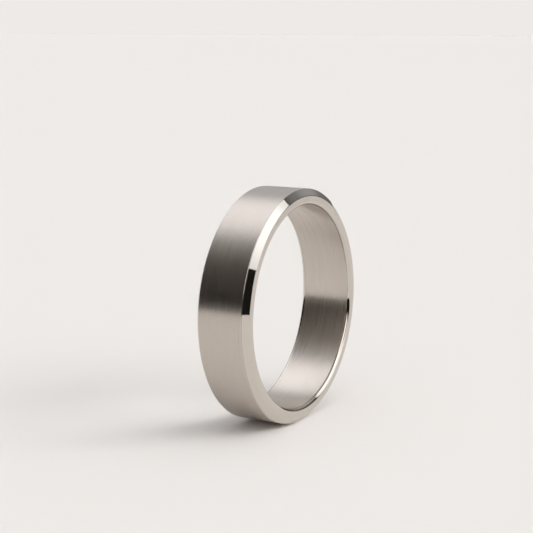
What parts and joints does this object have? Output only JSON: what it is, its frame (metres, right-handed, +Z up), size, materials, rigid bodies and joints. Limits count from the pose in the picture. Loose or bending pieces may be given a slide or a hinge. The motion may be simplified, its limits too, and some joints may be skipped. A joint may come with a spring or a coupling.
{
  "type": "wedding band",
  "caption": "Flat wedding band: circumferentially brushed centre, polished bevels, satin side faces, rounded inner edges and a plain round finger bore.",
  "frame": {"origin": "middle of the finger bore, on its axis", "axes": "+Y along the finger axis, away from the front side face; +Z up with the ring standing on its rim; +X to the right"},
  "size_m": [0.0238, 0.0058, 0.0238],
  "materials": {
    "brushed_bore": "brushed round the bore, warm grey",
    "brushed_outer": "brushed round the circumference, warm grey",
    "polished_edge": "mirror-polished bevel and inner round, fine satin side face, bare steel"
  },
  "bodies": {
    "root": {"inner_sleeve": "brushed_bore", "centre_band": "brushed_outer", "front_edge_ring": "polished_edge", "back_edge_ring": "polished_edge"}
  },
  "joints": []
}
